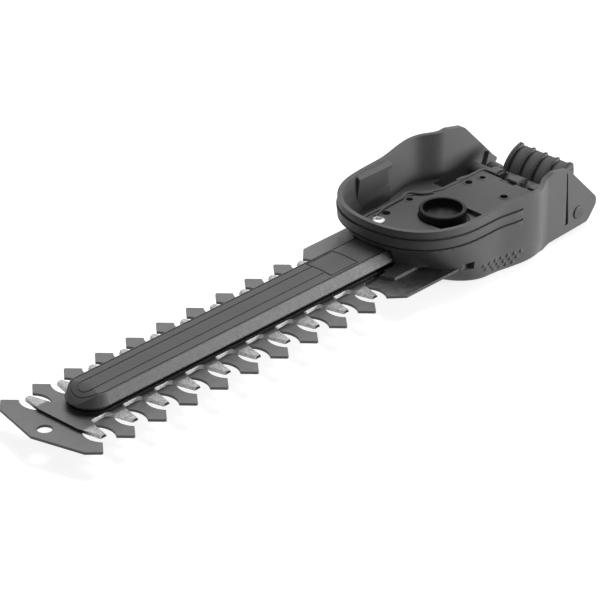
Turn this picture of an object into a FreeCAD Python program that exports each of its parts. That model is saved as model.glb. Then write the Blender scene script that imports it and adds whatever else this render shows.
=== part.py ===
import FreeCAD, Part
import math
import os

os.makedirs("parts", exist_ok=True)

# All sizes are millimetres. X runs along the blades with its zero on the drive axis and the housing
# at the back, the teeth point out along Y, and Z is zero on top of the fixed blade. Every piece is
# exported with the rim of the drive collar at zero height.

# Fixed blade
tooth_pitch = 20.0
fixed_tooth_count = 9
shoulder_to_drive = 65.0
fixed_thickness = 1.4
tooth_tip_y = 33.4
tooth_tip_half = 0.5
tooth_shoulder_y = 27.6
tooth_shoulder_half = 5.74
tooth_waist_y = 21.1
tooth_waist_half = 3.2
tooth_root_y = 14.6
tooth_root_half = 5.3
gullet_y = 11.2
end_plate_reach = 12.8
end_plate_corner_reach = 5.9
end_plate_corner_y = 28.0
tip_hole_radius = 3.7
tip_hole_reach = 4.0
shoulder_plate_half = 34.2
shoulder_plate_tip = 1.5
shoulder_plate_taper_x = -15.0
shoulder_plate_taper_length = 12.0
shoulder_plate_rear_half = 28.0
shoulder_plate_rear_x = 19.0
shoulder_plate_corner = 8.0

# Moving blade
blade_gap = 0.05
moving_thickness = 1.5
moving_bevel = 1.2
moving_front_lead = 4.5
moving_front_half = 12.9
moving_tip_y = 25.0
moving_tip_half = 2.0
moving_root_y = 15.0
moving_root_half = 4.6
moving_gullet_y = 12.3
moving_gullet_radius = 2.4
moving_body_rear_x = -63.5
tail_half = 11.0
tail_neck_x = -15.0
tail_head_half = 14.0
tail_head_rear_x = 14.0
tail_head_corner = 5.0

# Crank drive
crank_radius = 5.0
crank_rest_x = -1.1
crank_pin_radius = 3.0
crank_pin_clearance = 0.15
crank_slot_margin = 0.2
crank_disc_thickness = 3.0
crank_disc_drop = 0.2
crank_running_gap = 0.2
drive_hole_radius = 1.6
drive_hole_depth = 2.0

# Bushes, screws, strip and rib on the blades
bush_count = 4
bush_radius = 4.0
bush_bore_radius = 2.1
bush_side_clearance = 0.15
strip_half = 11.6
strip_thickness = 1.2
rib_screw_radius = 1.95
rib_screw_head_radius = 3.75
rib_screw_head_height = 2.2
rib_screw_reach = 5.2
rib_foot_half = 9.8
rib_belt_half = 12.2
rib_belt_rise = 2.4
rib_facet_lean = 0.353
rib_crown_rise = 8.8
rib_crown_radius = 66.0
rib_nose_middle = 25.2
rib_nose_drop_radius = 15.0
rib_rear_x = -48.0
rib_line_width = 0.7
rib_line_depth = 0.4
rib_border_half = 9.7
rib_panel_half = 4.5
rib_panel_nose_middle = 22.6
rib_cell_length = 19.1
rib_cell_half = 8.45
rib_cell_rear_x = -70.1

# Housing hull
hull_half = 39.2
hull_bulge = 3.3
hull_bulge_start_x = -5.0
hull_bulge_length = 25.0
hull_jog_x = 22.0
hull_jog_length = 16.0
ear_half = 36.0
hull_front_x = -55.6
hull_front_length = 40.6
hull_front_power = 2.3
hull_front_tuck = 0.6
hull_lean_top = 15.5
hull_lean_length = 14.1
hull_belly_depth = 12.5
hull_belly_lean = 15.5
hull_belly_round = 5.5
hull_side_draft = 0.5
wall = 2.4
ear_wall = 3.0
rim_front_x = -22.0
rim_front_z = 25.0
rim_back_z = 27.2
rim_back_x = 25.0
ear_top_x = 41.0
ear_top_z = 29.6
ear_slope_x = 53.0
ear_slope_z = 25.0
ear_tip_x = 76.7
ear_tip_z = 0.4
ear_heel_x = 68.5
ear_heel_z = -9.2
ear_floor_x = 39.0
ear_floor_z = -10.5
belly_end_x = 33.0
seam_z = -0.7
blade_pocket_gap = 0.15
well_floor = 2.0
rear_floor = 2.2
chamber_wall = 4.0
cover_rear_x = 27.0
cover_floor = 2.2
ring_groove_depth = 0.7
ring_groove_height = 1.0
ring_groove_heights = (14.6, 20.3)
ring_groove_end_x = 12.0
hood_front_x = -50.2
hood_radius = 31.0
hood_lean = 5.1
hood_lip = 0.5
hood_lip_height = 0.8
hood_lip_half = 20.5
arch_block_rear_x = -45.0
arch_block_half = 15.5
arch_block_top_z = 14.2
arch_gap = 0.3
guide_front_x = -62.0
guide_corner_x = -57.0
guide_half = 20.3
guide_rear_x = -38.0
guide_top_z = 1.9
guide_mouth_half = 13.3
guide_mouth_x = -55.2
guide_slot_rear_x = -43.5
notch_front_x = -25.0
notch_rear_x = -19.0
notch_half = 34.5
notch_top_z = 2.6
notch_bottom_z = -1.6
ear_groove_x = 51.7
ear_groove_top_z = 23.4
ear_groove_bottom_z = -5.3
ear_groove_top_half = 0.4
ear_groove_bottom_half = 1.85
ear_groove_depth = 0.7

# Guide pads on the inside of the side walls
pad_front_x = -23.0
pad_rear_x = 1.0
pad_top_proud = 2.4
pad_foot_proud = 0.9
pad_foot_z = 11.5
pad_ledge_z = 22.6
pad_ledge_rise = 1.6
pad_slot_length = 3.5
pad_slot_bottom_z = 10.7
pad_slot_top_z = 20.4

# Floor tray, the deck that it lies in, and the collar
tray_top_z = 7.1
tray_thickness = 2.5
tray_half = 25.6
tray_waist_half = 17.6
tray_front_x = -38.0
tray_waist_x = 19.0
tray_taper_x = 3.0
tray_rear_x = 51.0
tray_front_corner = 12.0
tray_taper_corner = 10.0
tray_waist_corner = 14.0
tray_rear_corner = 2.5
tray_holes = ((-17.6, 21.6, 2.2), (1.0, 23.0, 1.8), (35.0, 14.0, 2.0), (43.6, 12.4, 1.6), (35.4, -9.2, 2.0))
tray_gap = 0.15
deck_lip = 1.4
deck_lip_rise = 0.6
tail_side_gap = 0.4
tail_top_gap = 0.2
tail_end_gap = 0.6
collar_radius = 11.8
collar_bore = 10.0
collar_top_z = 11.3
collar_chamfer = 0.5
collar_flange = 1.5
collar_flange_thickness = 1.2
collar_well_gap = 0.2
collar_window_gap = 0.5
collar_seat_radius = 9.48
collar_lip_radius = 8.4
collar_lip_thickness = 0.6
window_near_y = 13.8
window_far_y = 3.0
window_length = 25.7

# Fasteners in the housing
blade_screw_radius = 2.0
blade_screw_head_radius = 3.8
blade_screw_head_height = 2.0
blade_screw_reach = 4.0
blade_screw_places = ((-15.0, 21.5), (10.0, 20.5))
tray_screw_radius = 1.6
tray_screw_head_radius = 3.7
tray_screw_head_height = 1.4
tray_screw_x = -26.6
tray_screw_y = 18.7
cover_screw_radius = 1.6
cover_screw_head_radius = 3.2
cover_screw_head_height = 1.8
cover_screw_reach = 1.5
cover_screw_x = 21.5
cover_screw_y = 30.0
cover_boss_wall = 1.6
cover_screw_seat_z = -6.0
screw_end_gap = 0.3
head_side_gap = 0.3

# Lever, pin and spring
pivot_x = 61.0
pivot_z = -1.4
pin_radius = 3.0
pin_running_gap = 0.08
pin_recess = 0.8
pin_recess_gap = 0.5
lever_half = 17.6
lever_side_gap = 0.5
lever_hub_radius = 5.0
lever_arc_x = 81.0
lever_arc_z = -4.4
lever_crest = 17.6
lever_floor = 16.3
lever_floor_sag = 0.4
lever_inner = 14.2
lever_sweep = 82.0
lever_web = 2.0
lever_web_depth = 3.0
ridge_pitch = 7.9
ridge_count = 5
ridge_half = 0.8
ridge_foot_half = 1.7
hook_front_x = 53.3
hook_top_z = 6.0
hook_thickness = 1.8
hook_half = 2.6
hook_offset = 11.2
hook_outer_half = 1.4
ear_boss_radius = 6.6
spring_x = 72.5
spring_radius = 3.2
spring_wire = 0.9
spring_turns = 4
spring_steps = 14
spring_sides = 6
spring_pad_z = 1.2
spring_pad_half = 4.2

end_tooth_x = -shoulder_to_drive - (fixed_tooth_count + 1) * tooth_pitch
shoulder_x = -shoulder_to_drive
moving_bottom_z = blade_gap
moving_top_z = blade_gap + moving_thickness
rib_bottom_z = moving_top_z + 0.05 + strip_thickness
rib_belt_z = rib_bottom_z + rib_belt_rise
well_z = blade_pocket_gap + well_floor
rib_top_z = rib_bottom_z + rib_crown_rise
rib_nose_x = end_tooth_x + rib_nose_middle
arch_bottom_z = rib_bottom_z - arch_gap
bush_first_x = end_tooth_x + 2 * tooth_pitch
bush_last_x = shoulder_x - tooth_pitch / 2
bush_pitch = (bush_last_x - bush_first_x) / (bush_count - 1)
bush_places = [bush_first_x + bush_pitch * i for i in range(bush_count)]
crank_rest_y = -math.sqrt(crank_radius ** 2 - crank_rest_x ** 2)
tray_bottom_z = tray_top_z - tray_thickness
disc_z = tray_bottom_z - collar_flange_thickness
hood_middle_x = hood_front_x + hood_radius
belly_z = -hull_belly_depth
far = 200.0


def vec(x, y, z=0.0):
    return FreeCAD.Vector(x, y, z)


def block(x0, x1, y0, y1, z0, z1):
    return Part.makeBox(x1 - x0, y1 - y0, z1 - z0, vec(x0, y0, z0))


def post(x, y, z0, z1, radius):
    return Part.makeCylinder(radius, z1 - z0, vec(x, y, z0))


def both_sides(shape):
    """The shape and its mirror image across the middle plane."""
    return shape.fuse(shape.mirror(vec(0, 0), vec(0, 1)))


def joined(shapes):
    """One clean solid from overlapping or touching ones."""
    return shapes[0].fuse(shapes[1:]).removeSplitter()


class Outline:
    """A closed outline of lines and arcs in the XY plane."""

    def __init__(self, x, y):
        self.start = vec(x, y)
        self.here = self.start
        self.edges = []

    def line(self, x, y):
        point = vec(x, y)
        self.edges.append(Part.LineSegment(self.here, point).toShape())
        self.here = point

    def arc(self, mid_x, mid_y, x, y):
        point = vec(x, y)
        self.edges.append(Part.Arc(self.here, vec(mid_x, mid_y), point).toShape())
        self.here = point

    def wire(self):
        if self.here.distanceToPoint(self.start) > 1e-6:
            self.line(self.start.x, self.start.y)
        return Part.Wire(self.edges)


def rounded_wire(corners):
    """Closed wire through (x, y, radius) corners, each rounded by a tangent arc."""
    count = len(corners)
    legs = []
    for i in range(count):
        x, y, radius = corners[i]
        corner = vec(x, y)
        before = (vec(*corners[i - 1][:2]) - corner).normalize()
        after = (vec(*corners[(i + 1) % count][:2]) - corner).normalize()
        half_angle = before.getAngle(after) / 2
        if radius == 0:
            legs.append((corner, corner, corner))
            continue
        reach = radius / math.tan(half_angle)
        bisector = (before + after).normalize()
        centre = corner + bisector * (radius / math.sin(half_angle))
        legs.append((corner + before * reach, centre - bisector * radius, corner + after * reach))
    edges = []
    for i in range(count):
        enter, middle, leave = legs[i]
        if enter.distanceToPoint(leave) > 1e-6:
            edges.append(Part.Arc(enter, middle, leave).toShape())
        following = legs[(i + 1) % count][0]
        if leave.distanceToPoint(following) > 1e-6:
            edges.append(Part.LineSegment(leave, following).toShape())
    return Part.Wire(edges)


def slab(wire, z0, z1):
    """The wire's area, filled from one height to another."""
    face = Part.Face(wire)
    face.translate(vec(0, 0, z0))
    return face.extrude(vec(0, 0, z1 - z0))


def obround(x, y, half_length, radius, z0, z1):
    """A slot along X with round ends."""
    middle = block(x - half_length, x + half_length, y - radius, y + radius, z0, z1)
    ends = [post(x + side * half_length, y, z0, z1, radius) for side in (-1, 1)]
    return joined([middle] + ends)


def smooth(t):
    """Rises from 0 to 1 with level ends."""
    t = min(max(t, 0.0), 1.0)
    return t * t * (3 - 2 * t)


# Hull of the housing and of its lower cover
def jog(x):
    return smooth((x - hull_jog_x) / hull_jog_length)


def side_half(x):
    """Half-width of the hull at its rim, with the bulge ahead of the ears."""
    bulged = hull_half + hull_bulge * smooth((x - hull_bulge_start_x) / hull_bulge_length)
    return bulged + (ear_half - bulged) * jog(x)


def lower_inset(x, z):
    """How far the hull's side lies inside its rim line at one height."""
    draft = hull_side_draft * min(max((hull_lean_top - z) / hull_lean_top, 0.0), 1.0)
    depth = min(max(-z / hull_belly_depth, 0.0), 1.0)
    belly = hull_belly_round * (1 - math.sqrt(1 - depth * depth))
    return (draft + belly) * (1 - jog(x))


def front_setback(z):
    """How far the hull's front lies behind the rim's front at one height."""
    upper = hull_lean_length * min(max((hull_lean_top - z) / hull_lean_top, 0.0), 1.0)
    lower = hull_belly_lean * min(max(-z / hull_belly_depth, 0.0), 1.0)
    return upper + lower


def hull_wire(z, inset, ear_inset, rear_x):
    """Plan of the hull at one height: a superellipse front, bulged sides, straight ears and back."""
    front_x = hull_front_x + front_setback(z) + inset
    length = hull_front_length - hull_front_tuck * front_setback(z) - inset
    turn_x = front_x + length
    ears_x = hull_jog_x + hull_jog_length
    side = []
    front_count = 8
    for i in range(front_count + 1):
        angle = math.pi / 2 * i / front_count
        x = turn_x - length * math.cos(angle) ** (2 / hull_front_power)
        share = math.sin(angle) ** (2 / hull_front_power)
        side.append((x, (side_half(x) - lower_inset(x, z) - inset) * share))
    side_count = 8
    for i in range(1, side_count + 1):
        x = turn_x + (ears_x - turn_x) * i / side_count
        thickness = inset + (ear_inset - inset) * jog(x)
        side.append((x, side_half(x) - lower_inset(x, z) - thickness))
    right = [vec(x, -y, z) for x, y in reversed(side)]
    left = [vec(x, y, z) for x, y in side[1:]]
    curve = Part.BSplineCurve()
    along = vec(1, 0)
    curve.interpolate(right + left, InitialTangent=along * -1, FinalTangent=along, Scale=False)
    ear_y = ear_half - ear_inset
    ears = [
        Part.LineSegment(left[-1], vec(rear_x, ear_y, z)),
        Part.LineSegment(vec(rear_x, ear_y, z), vec(rear_x, -ear_y, z)),
        Part.LineSegment(vec(rear_x, -ear_y, z), right[0]),
    ]
    return Part.Wire([curve.toShape()] + [line.toShape() for line in ears])


def hull_solid(heights, inset=0.0, ear_inset=0.0, rear_x=80.0):
    """The hull between its lowest and highest given heights."""
    wires = [hull_wire(z, inset, ear_inset, rear_x) for z in heights]
    return Part.makeLoft(wires, True, False)


def hull_outside(inset=0.0, ear_inset=0.0, bottom=belly_z, rear_x=80.0):
    """The whole hull: a rounded belly, a leaning middle and an upright rim band."""
    bands = []
    if bottom < 0:
        bands.append([bottom * share for share in (1.0, 0.9, 0.65, 0.35, 0.0)])
    start = max(bottom, 0.0)
    bands.append([start, (start + hull_lean_top) / 2, hull_lean_top])
    bands.append([hull_lean_top, ear_top_z + 4])
    return joined([hull_solid(band, inset, ear_inset, rear_x) for band in bands])


def side_profile():
    """What lies within the housing's outline in side view."""
    corners = [
        (-far, belly_z, 0), (belly_end_x, belly_z, 2), (ear_floor_x, ear_floor_z, 2),
        (ear_heel_x, ear_heel_z, 4), (ear_tip_x, ear_tip_z, 5), (ear_slope_x, ear_slope_z, 9),
        (ear_top_x, ear_top_z, 5), (rim_back_x, rim_back_z, 30), (rim_front_x, rim_front_z, 60),
        (-far, rim_front_z, 0),
    ]
    profile = Part.Face(rounded_wire(corners))
    profile.rotate(vec(0, 0), vec(1, 0), 90)
    profile.translate(vec(0, far))
    return profile.extrude(vec(0, -2 * far))


def tray_wire(grow=0.0):
    """Outline of the floor tray, grown or shrunk evenly."""
    front, rear = tray_front_x - grow, tray_rear_x + grow
    wide, narrow = tray_half + grow, tray_waist_half + grow
    left = [
        (rear, narrow, tray_rear_corner + grow), (tray_waist_x, narrow, tray_waist_corner - grow),
        (tray_taper_x, wide, tray_taper_corner + grow), (front, wide, tray_front_corner + grow),
    ]
    right = [(x, -y, radius) for x, y, radius in reversed(left)]
    return rounded_wire(right + left)


# Blades
def fixed_blade_half():
    """Outline of one side of the fixed blade, from its front edge to its back edge."""
    front_x = end_tooth_x - end_plate_reach
    corner_x = end_tooth_x - end_plate_corner_reach
    outline = Outline(front_x, 0)
    outline.line(corner_x, end_plate_corner_y)
    outline.line(end_tooth_x - tooth_tip_half, tooth_tip_y)
    for i in range(fixed_tooth_count + 1):
        x = end_tooth_x + i * tooth_pitch
        following = x + tooth_pitch
        outline.line(x + tooth_tip_half, tooth_tip_y)
        outline.line(x + tooth_shoulder_half, tooth_shoulder_y)
        outline.arc(x + tooth_waist_half, tooth_waist_y, x + tooth_root_half, tooth_root_y)
        outline.arc(x + tooth_pitch / 2, gullet_y, following - tooth_root_half, tooth_root_y)
        outline.arc(
            following - tooth_waist_half, tooth_waist_y,
            following - tooth_shoulder_half, tooth_shoulder_y,
        )
        if i < fixed_tooth_count:
            outline.line(following - tooth_tip_half, tooth_tip_y)
    rear = shoulder_plate_rear_x
    corner = shoulder_plate_corner
    slant = corner * (1 - math.sqrt(0.5))
    outline.line(shoulder_x + shoulder_plate_tip, shoulder_plate_half)
    outline.line(shoulder_plate_taper_x, shoulder_plate_half)
    outline.line(shoulder_plate_taper_x + shoulder_plate_taper_length, shoulder_plate_rear_half)
    outline.line(rear - corner, shoulder_plate_rear_half)
    outline.arc(
        rear - slant, shoulder_plate_rear_half - slant,
        rear, shoulder_plate_rear_half - corner,
    )
    outline.line(rear, 0)
    return outline.wire()


def fixed_blade():
    bottom = -fixed_thickness
    plate = joined([both_sides(slab(fixed_blade_half(), bottom, 0))])
    holes = [post(end_tooth_x - tip_hole_reach, 0, bottom - 1, 1, tip_hole_radius)]
    for x in bush_places:
        holes.append(post(x, 0, bottom - 1, 1, bush_bore_radius))
    for x, y in blade_screw_places:
        for side in (-1, 1):
            holes.append(post(x, side * y, bottom - 1, 1, blade_screw_radius + 0.15))
    return plate.cut(holes)


def moving_wire(bevel):
    """Outline of the moving blade, with its teeth and gullets set back by the bevel."""
    tip = moving_tip_half - bevel * 0.7
    root = moving_root_half - bevel
    bottom_y = moving_gullet_y - bevel * 0.8
    lean = (moving_root_half - moving_tip_half) / (moving_tip_y - moving_root_y)
    foot = root + lean * (moving_root_y - bottom_y)
    first_x = end_tooth_x + tooth_pitch / 2 + crank_rest_x
    upper = [(end_tooth_x + moving_front_lead, moving_front_half, 0.8)]
    for i in range(fixed_tooth_count + 1):
        x = first_x + i * tooth_pitch
        if i > 0:
            upper.append((x - foot, bottom_y, moving_gullet_radius))
        upper.append((x - tip, moving_tip_y, 0.4))
        upper.append((x + tip, moving_tip_y, 0.4))
        if i < fixed_tooth_count:
            upper.append((x + foot, bottom_y, moving_gullet_radius))
    upper.append((x + foot, moving_front_half, moving_gullet_radius))
    upper.append((moving_body_rear_x, moving_front_half, 0.8))
    upper.append((moving_body_rear_x + moving_front_half - tail_half, tail_half, 0.8))
    upper.append((tail_neck_x, tail_half, 2))
    upper.append((tail_neck_x + 3, tail_head_half, 2))
    upper.append((tail_head_rear_x, tail_head_half, tail_head_corner))
    lower = [(x, -y, radius) for x, y, radius in reversed(upper)]
    return rounded_wire(upper + lower)


def moving_blade():
    bottom = moving_wire(0.0)
    bottom.translate(vec(0, 0, moving_bottom_z))
    top = moving_wire(moving_bevel)
    top.translate(vec(0, 0, moving_top_z))
    blade = Part.makeLoft([bottom, top], True, True)
    cuts = []
    for x in bush_places:
        radius = bush_radius + bush_side_clearance
        cuts.append(obround(x + crank_rest_x, 0, crank_radius + 0.3, radius, -1, moving_top_z + 1))
    half_x = crank_pin_radius + crank_pin_clearance
    half_y = crank_radius + crank_pin_radius + crank_slot_margin
    slot_corners = [
        (crank_rest_x - half_x, -half_y, 1), (crank_rest_x + half_x, -half_y, 1),
        (crank_rest_x + half_x, half_y, 1), (crank_rest_x - half_x, half_y, 1),
    ]
    cuts.append(slab(rounded_wire(slot_corners), -1, moving_top_z + 1))
    return blade.cut(cuts)


# Rib and what holds it
def rib_wire(half, z, nose_x=rib_nose_x, rear_x=rib_rear_x):
    """The rib's outline at one height: a half-round nose and a square back."""
    outline = Outline(rear_x, -half)
    outline.line(nose_x, -half)
    outline.arc(nose_x - half, 0, nose_x, half)
    outline.line(rear_x, half)
    wire = outline.wire()
    wire.translate(vec(0, 0, z))
    return wire


def rib_crown(drop):
    """All that lies under the rib's crowned top, which also falls towards its nose."""
    top_z = rib_top_z - drop
    start = end_tooth_x
    barrel = Part.makeCylinder(rib_crown_radius, rib_rear_x - start,
                               vec(start, 0, top_z - rib_crown_radius), vec(1, 0))
    fall = Part.makeCylinder(rib_nose_drop_radius, far,
                             vec(rib_nose_x, far / 2, top_z - rib_nose_drop_radius), vec(0, -1))
    level = block(rib_nose_x, rib_rear_x, -far, far, 0, top_z)
    return barrel.common(joined([fall, level]))


def rib_band(half, nose_x, rear_x):
    """An upright U-shaped band, open at its rear end."""
    outer = Part.Face(rib_wire(half, 0, nose_x, rear_x))
    inner = Part.Face(rib_wire(half - rib_line_width, 0, nose_x, rear_x))
    return outer.cut(inner).extrude(vec(0, 0, far))


def rib_cell():
    """An upright square band, the frame of the empty cell on the rib's top."""
    x1 = rib_cell_rear_x
    x0 = x1 - rib_cell_length
    half = rib_cell_half
    line = rib_line_width
    outer = block(x0, x1, -half, half, rib_belt_z, far)
    return outer.cut(block(x0 + line, x1 - line, -half + line, half - line, 0, far))


def blade_rib():
    facet_top_z = rib_top_z + 1
    facet_top_half = rib_belt_half - rib_facet_lean * (facet_top_z - rib_belt_z)
    undercut = Part.makeLoft([
        rib_wire(rib_foot_half, rib_bottom_z), rib_wire(rib_belt_half, rib_belt_z),
    ], True, True)
    facet = Part.makeLoft([
        rib_wire(rib_belt_half, rib_belt_z), rib_wire(facet_top_half, facet_top_z),
    ], True, True)
    rib = joined([undercut, facet]).common(rib_crown(0.0))
    floor = rib_crown(rib_line_depth)
    panel_rear_x = rib_cell_rear_x - rib_cell_length
    panel_nose_x = end_tooth_x + rib_panel_nose_middle
    cuts = [
        rib_band(rib_border_half, rib_nose_x, rib_rear_x).cut(floor),
        rib_band(rib_panel_half, panel_nose_x, panel_rear_x).cut(floor),
        rib_cell().cut(floor),
    ]
    for x in bush_places:
        hole_top = rib_bottom_z + rib_screw_reach + screw_end_gap
        cuts.append(post(x, 0, 0, hole_top, rib_screw_radius + 0.05))
    return rib.cut(cuts)


def slide_strip():
    wire = rib_wire(strip_half, 0, rib_nose_x, shoulder_x + 5)
    strip = slab(wire, moving_top_z + 0.05, rib_bottom_z)
    return strip.cut([post(x, 0, 0, far, bush_radius + 0.1) for x in bush_places])


def guide_bush(x):
    return post(x, 0, 0, rib_bottom_z, bush_radius).cut(post(x, 0, -1, far, bush_bore_radius))


def screw_up(x, y, head_z, tip_z, radius, head_radius, head_height):
    """A pan-head screw that points up, with its head's seat at one height."""
    rim = head_height * 0.4
    cone = Part.makeCone(head_radius - rim, head_radius, rim, vec(x, y, head_z - head_height))
    drum = post(x, y, head_z - head_height + rim, head_z, head_radius)
    return joined([cone, drum, post(x, y, head_z, tip_z, radius)])


def rib_screw(x):
    return screw_up(
        x, 0, -fixed_thickness, rib_bottom_z + rib_screw_reach,
        rib_screw_radius, rib_screw_head_radius, rib_screw_head_height,
    )


# Housing
def blade_pocket():
    """The room for the fixed blade between the housing and its lower cover."""
    gap = blade_pocket_gap
    wide = shoulder_plate_half + gap
    narrow = shoulder_plate_rear_half + gap
    taper_x = shoulder_plate_taper_x + gap
    rear = shoulder_plate_rear_x + gap
    corners = [
        (-far, -wide, 0), (taper_x, -wide, 0),
        (taper_x + shoulder_plate_taper_length, -narrow, 0),
        (rear, -narrow, shoulder_plate_corner), (rear, narrow, shoulder_plate_corner),
        (taper_x + shoulder_plate_taper_length, narrow, 0),
        (taper_x, wide, 0), (-far, wide, 0),
    ]
    return slab(rounded_wire(corners), -fixed_thickness - gap, gap)


def tail_passage():
    """The channel that guides the moving blade's tail, with the well for the crank above it."""
    top = moving_top_z + tail_top_gap
    neck = tail_half + tail_side_gap
    head = tail_head_half + tail_side_gap
    forward = crank_radius + crank_rest_x + tail_end_gap
    backward = crank_radius - crank_rest_x + tail_end_gap
    channel = block(-far, tail_head_rear_x, -neck, neck, -5, top)
    room = block(tail_neck_x - forward, tail_head_rear_x + backward, -head, head, -5, top)
    mouth = block(-far, guide_mouth_x, -guide_mouth_half, guide_mouth_half, -5, arch_bottom_z)
    slot = block(guide_mouth_x, guide_slot_rear_x, -neck, neck, -5, arch_bottom_z)
    crank_well = post(0, 0, 0, far, collar_radius + collar_flange + collar_well_gap)
    return joined([channel, room, mouth, slot, crank_well])


def hood():
    """The steeper middle of the hull's front, with a lip along its lower edge."""
    body = Part.makeCone(hood_radius, hood_radius + hood_lean, hull_lean_top - guide_top_z,
                         vec(hood_middle_x, 0, guide_top_z))
    lip = post(hood_middle_x, 0, guide_top_z, guide_top_z + hood_lip_height,
               hood_radius + hood_lip)
    lip = lip.common(block(-far, far, -hood_lip_half, hood_lip_half, 0, far))
    return joined([body, lip]).common(block(-far, tray_front_x, -far, far, 0, far))


def blade_guide():
    """The thin tongue under the hood, on both sides of the moving blade."""
    outline = Outline(guide_rear_x, -guide_half)
    outline.line(guide_corner_x, -guide_half)
    outline.arc(guide_front_x, 0, guide_corner_x, guide_half)
    outline.line(guide_rear_x, guide_half)
    return slab(outline.wire(), blade_pocket_gap, guide_top_z)


def rib_arch():
    """The opening that takes the rear end of the rib."""
    half = rib_belt_half + arch_gap
    return block(-far, rib_rear_x + arch_gap, -half, half, arch_bottom_z, rib_top_z + arch_gap)


def notch():
    """A gap in the seam at the rear corner of each shoulder."""
    return both_sides(block(notch_front_x, notch_rear_x, notch_half, far,
                            notch_bottom_z, notch_top_z))


def ear_grooves():
    """A groove down the outside of each ear that grows wider towards the bottom."""
    corners = [
        (ear_groove_x - ear_groove_bottom_half, ear_groove_bottom_z, 0.8),
        (ear_groove_x + ear_groove_bottom_half, ear_groove_bottom_z, 0.8),
        (ear_groove_x + ear_groove_top_half, ear_groove_top_z, 0),
        (ear_groove_x - ear_groove_top_half, ear_groove_top_z, 0),
    ]
    face = Part.Face(rounded_wire(corners))
    face.rotate(vec(0, 0), vec(1, 0), 90)
    face.translate(vec(0, ear_half - ear_groove_depth))
    return both_sides(face.extrude(vec(0, far)))


def guide_pad():
    """A pad inside the side wall, with a sloped ledge on top and a slot at its rear."""
    middle_x = (pad_front_x + pad_rear_x) / 2
    wall_y = side_half(middle_x) - wall
    foot_y = wall_y - lower_inset(middle_x, pad_foot_z) - pad_foot_proud
    top_y = wall_y - pad_top_proud
    section = Part.makePolygon([
        vec(pad_front_x, far, well_z), vec(pad_front_x, foot_y, well_z),
        vec(pad_front_x, foot_y, pad_foot_z), vec(pad_front_x, top_y, pad_ledge_z),
        vec(pad_front_x, wall_y, pad_ledge_z + pad_ledge_rise),
        vec(pad_front_x, far, pad_ledge_z + pad_ledge_rise), vec(pad_front_x, far, well_z),
    ])
    pad = Part.Face(section).extrude(vec(pad_rear_x - pad_front_x, 0))
    slot = block(pad_rear_x - pad_slot_length, pad_rear_x, 0, wall_y,
                 pad_slot_bottom_z, pad_slot_top_z)
    return pad.cut(slot)


def housing():
    shell = joined([hull_outside().common(side_profile()), hood()])
    shell = shell.cut(block(-far, cover_rear_x, -far, far, -far, seam_z))
    well = hull_outside(wall, ear_wall, well_z, 100.0)
    bay_half = ear_half - ear_wall
    rear_bay = block(cover_rear_x + wall, far, -bay_half, bay_half, ear_floor_z + rear_floor, far)
    shell = shell.cut([well, rear_bay])

    deck = slab(tray_wire(deck_lip), blade_pocket_gap, tray_top_z + deck_lip_rise)
    deck_foot = slab(tray_wire(deck_lip), ear_floor_z + 1, well_z)
    deck_foot = deck_foot.common(block(cover_rear_x, far, -far, far, -far, far))
    pivot_boss = Part.makeCylinder(ear_boss_radius, bay_half - lever_half - lever_side_gap + 1,
                                   vec(pivot_x, lever_half + lever_side_gap, pivot_z), vec(0, 1))
    inside_hull = hull_outside(wall / 2, ear_wall / 2, well_z - 1, 60.0)
    pads = both_sides(guide_pad()).common(inside_hull)
    arch_block = block(-far, arch_block_rear_x, -arch_block_half, arch_block_half,
                       well_z - 1, arch_block_top_z).common(inside_hull)
    shell = joined([shell, deck, deck_foot, both_sides(pivot_boss), blade_guide(), pads, arch_block])

    cuts = [slab(tray_wire(tray_gap), tray_bottom_z, far)]
    chamber_half = tray_waist_half - chamber_wall
    rear_chamber = block(cover_rear_x + wall, tray_rear_x - chamber_wall, -chamber_half, chamber_half,
                         ear_floor_z + rear_floor, tray_bottom_z)
    cuts += [tail_passage(), rear_chamber, blade_pocket(), rib_arch(), notch(), ear_grooves()]
    for z in ring_groove_heights:
        band = block(-far, ring_groove_end_x, -far, far, z, z + ring_groove_height)
        core = hull_solid([z - 1, z + 2], ring_groove_depth, ring_groove_depth)
        cuts.append(band.cut(core))
    pin_bore = Part.makeCylinder(pin_radius, 2 * far, vec(pivot_x, -far, pivot_z), vec(0, 1))
    recess = Part.makeCylinder(pin_radius + pin_recess_gap, far,
                               vec(pivot_x, ear_half - pin_recess, pivot_z), vec(0, 1))
    cuts += [pin_bore, both_sides(recess)]
    for x, y in blade_screw_places:
        for side in (-1, 1):
            cuts.append(post(x, side * y, -5, blade_screw_reach + screw_end_gap,
                             blade_screw_radius))
    for side in (-1, 1):
        cuts.append(post(tray_screw_x, side * tray_screw_y, 1.5, far, tray_screw_radius))
        cuts.append(post(cover_screw_x, side * cover_screw_y, -5,
                         cover_screw_reach + screw_end_gap, cover_screw_radius))
    return shell.cut(cuts)


def base_cover():
    outer = hull_outside().common(side_profile())
    outer = outer.common(block(-far, cover_rear_x, -far, far, -far, seam_z))
    inner = hull_solid([belly_z + cover_floor, 0.0], wall, wall, 60)
    inner = inner.common(block(-far, cover_rear_x - wall, -far, far, -far, far))
    hollow = outer.cut([inner, blade_pocket(), notch()])
    head_hole_radius = cover_screw_head_radius + head_side_gap
    boss_radius = head_hole_radius + cover_boss_wall
    bosses = [
        post(cover_screw_x, side * cover_screw_y, belly_z, seam_z, boss_radius) for side in (-1, 1)
    ]
    solid = joined([hollow] + [outer.common(boss).cut(blade_pocket()) for boss in bosses])
    holes = []
    for side in (-1, 1):
        y = side * cover_screw_y
        holes.append(post(cover_screw_x, y, -far, cover_screw_seat_z, head_hole_radius))
        holes.append(post(cover_screw_x, y, -far, far, cover_screw_radius + 0.15))
    return solid.cut(holes)


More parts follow.
